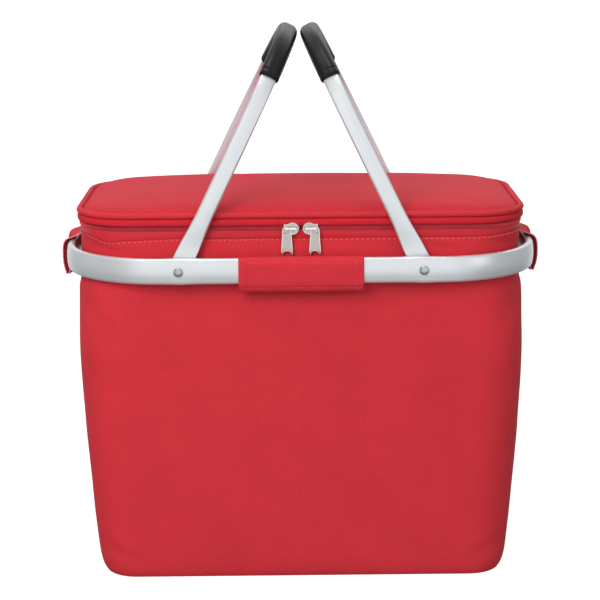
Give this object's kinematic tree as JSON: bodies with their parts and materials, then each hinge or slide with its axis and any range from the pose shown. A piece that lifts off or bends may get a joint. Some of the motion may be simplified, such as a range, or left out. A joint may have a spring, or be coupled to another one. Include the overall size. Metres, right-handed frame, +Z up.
{
  "type": "insulated cooler bag",
  "caption": "Soft insulated cooler bag with a zipped padded lid, an aluminium rim frame and two swinging bail handles with black grips.",
  "frame": {"origin": "centre of the bag's base on the surface that it stands on", "axes": "+X along the bag's length to the right, +Y to the back where the lid hinges, +Z up; the front with the zip sliders faces -Y"},
  "size_m": [0.45, 0.25, 0.5168],
  "materials": {
    "red_fabric": "matte red woven polyester, coated on the inside",
    "zip_tape": "red woven zip tape",
    "zip_teeth": "dark red moulded coil",
    "piping": "red covered piping cord",
    "binding": "grey woven binding tape",
    "foam": "white closed-cell foam",
    "lining": "silver-grey heat-welded film",
    "stiffener_board": "grey board",
    "aluminium": "satin anodised",
    "rivet_metal": "plain domed rivet",
    "plug_plastic": "black moulded nylon",
    "zip_metal": "nickel-plated, slightly warm",
    "grip_rubber": "matte black moulded foam rubber"
  },
  "bodies": {
    "bag": {"outer_shell": "red_fabric", "base_panel": "red_fabric", "base_board": "stiffener_board", "floor_foam": "foam", "wall_foam": "foam", "body_lining": "lining", "rim_binding": "binding", "lower_zip_tape": "zip_tape", "lower_zip_teeth": "zip_teeth", "lid_hinge": "red_fabric", "zip_end_stops": "zip_metal", "frame_tube_left": "aluminium", "frame_tube_right": "aluminium", "splice_plug_front": "plug_plastic", "splice_plug_rear": "plug_plastic", "front_sleeve": "red_fabric", "rear_sleeve": "red_fabric", "left_loop": "red_fabric", "right_loop": "red_fabric", "bail_rivets": "rivet_metal", "rivet_spacers": "plug_plastic"},
    "lid": {"lid_panel": "red_fabric", "lid_foam": "foam", "lid_lining": "lining", "lid_piping": "piping", "lid_band": "red_fabric", "upper_zip_tape": "zip_tape", "upper_zip_teeth": "zip_teeth"},
    "left_slider": {"left_slider": "zip_metal"},
    "right_slider": {"right_slider": "zip_metal"},
    "left_pull": {"left_pull": "zip_metal"},
    "right_pull": {"right_pull": "zip_metal"},
    "left_bail": {"left_bail_tube": "aluminium", "left_grip": "grip_rubber"},
    "right_bail": {"right_bail_tube": "aluminium", "right_grip": "grip_rubber"}
  },
  "joints": [
    {"name": "lid_hinge", "type": "hinge", "parent": "bag", "child": "lid", "pos_m": [0, 0.1015, 0.349], "axis": [-1, 0, 0], "range_deg": [0, 35]},
    {"name": "left_bail_swing", "type": "hinge", "parent": "bag", "child": "left_bail", "pos_m": [-0.1115, 0, 0.302], "axis": [0, -1, 0], "range_deg": [0, 78]},
    {"name": "right_bail_swing", "type": "hinge", "parent": "bag", "child": "right_bail", "pos_m": [0.1115, 0, 0.302], "axis": [0, 1, 0], "range_deg": [0, 78]},
    {"name": "left_slider_run", "type": "slide", "parent": "bag", "child": "left_slider", "axis": [-1, 0, 0], "range_m": [0, 0.063]},
    {"name": "right_slider_run", "type": "slide", "parent": "bag", "child": "right_slider", "axis": [1, 0, 0], "range_m": [0, 0.063]},
    {"name": "left_pull_swing", "type": "hinge", "parent": "left_slider", "child": "left_pull", "pos_m": [-0.0138, -0.1066, 0.337], "axis": [0, 1, 0], "range_deg": [-18, 40]},
    {"name": "right_pull_swing", "type": "hinge", "parent": "right_slider", "child": "right_pull", "pos_m": [0.0138, -0.1066, 0.337], "axis": [0, -1, 0], "range_deg": [-18, 40]}
  ]
}
